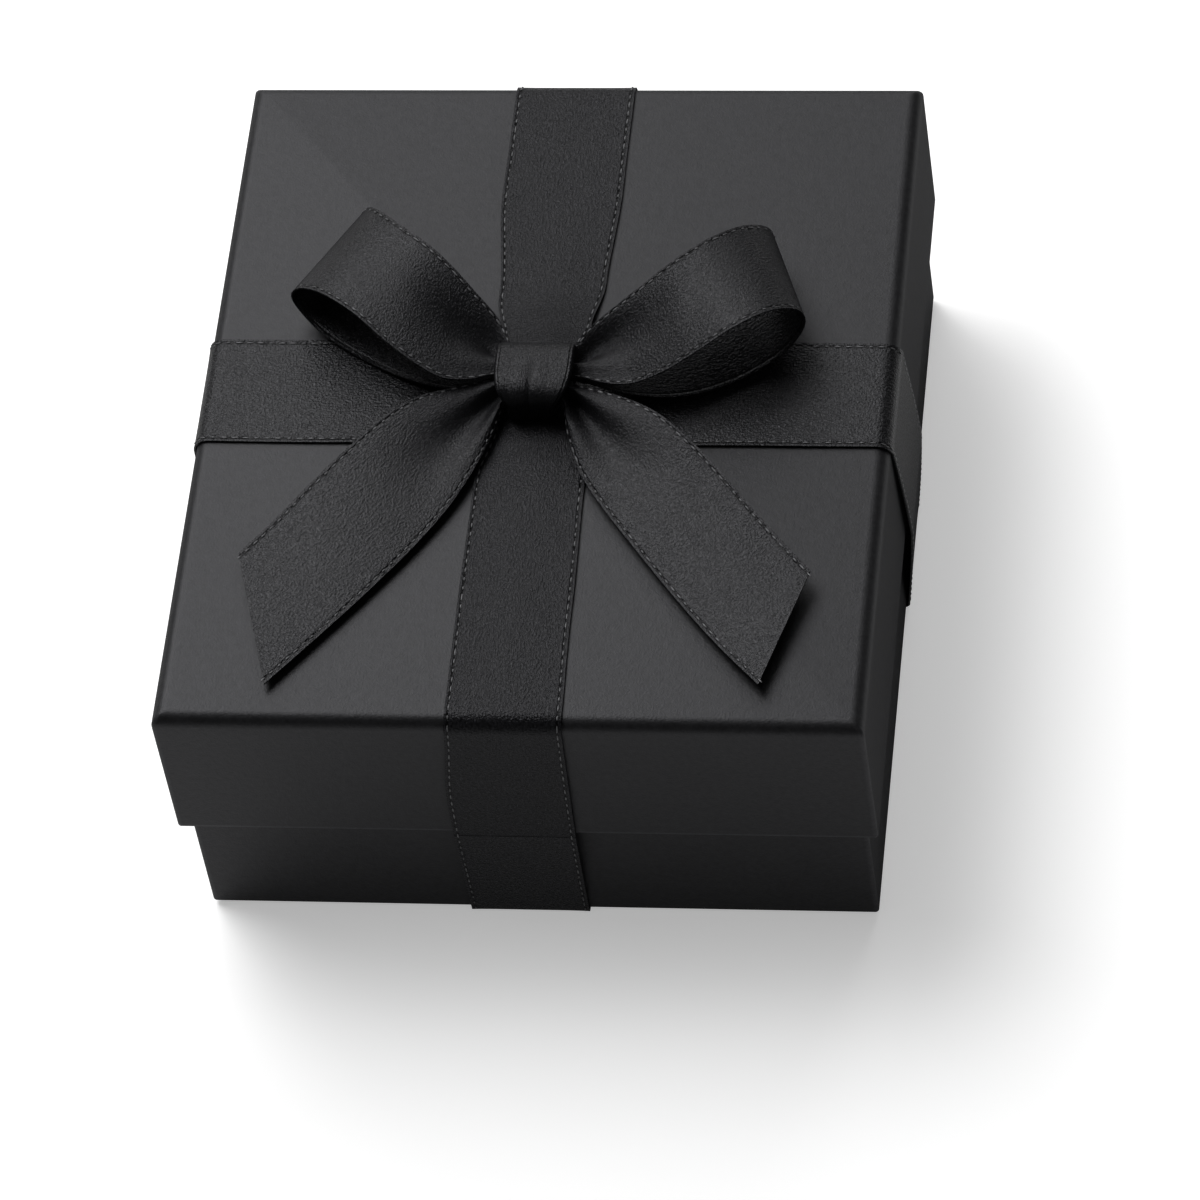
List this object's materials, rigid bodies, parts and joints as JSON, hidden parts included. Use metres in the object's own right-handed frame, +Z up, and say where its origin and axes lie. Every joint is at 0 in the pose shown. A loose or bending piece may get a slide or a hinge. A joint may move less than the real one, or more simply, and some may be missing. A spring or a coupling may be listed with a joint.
{
  "type": "gift box",
  "caption": "Paper-covered rigid gift box with a lift-off lid, wrapped both ways in satin ribbon tied in a bow on top.",
  "frame": {"origin": "on the surface the box stands on, under the middle of the box", "axes": "+X to the right across the box, +Y to the back along its longer side, +Z up"},
  "size_m": [0.1208, 0.141, 0.0732],
  "materials": {
    "greyboard": "matte",
    "covering_paper": "matte",
    "lining_paper": "matte",
    "stay_tape": "matte",
    "ribbon": "satin"
  },
  "bodies": {
    "base": {"base_board": "greyboard", "base_wrap": "covering_paper", "base_liner": "lining_paper", "base_ribbon_cross": "ribbon", "base_ribbon_long": "ribbon", "base_corner_stay_front_left": "stay_tape", "base_corner_stay_front_right": "stay_tape", "base_corner_stay_back_left": "stay_tape", "base_corner_stay_back_right": "stay_tape"},
    "lid": {"lid_board": "greyboard", "lid_wrap": "covering_paper", "lid_liner": "lining_paper", "lid_ribbon_cross": "ribbon", "lid_ribbon_long": "ribbon", "lid_corner_stay_front_left": "stay_tape", "lid_corner_stay_front_right": "stay_tape", "lid_corner_stay_back_left": "stay_tape", "lid_corner_stay_back_right": "stay_tape", "bow_knot": "ribbon", "bow_loop_left": "ribbon", "bow_loop_right": "ribbon", "bow_tail_left": "ribbon", "bow_tail_right": "ribbon"}
  },
  "joints": [
    {"name": "lid_lift", "type": "slide", "parent": "base", "child": "lid", "axis": [0, 0, 1], "range_m": [0, 0.09]}
  ]
}
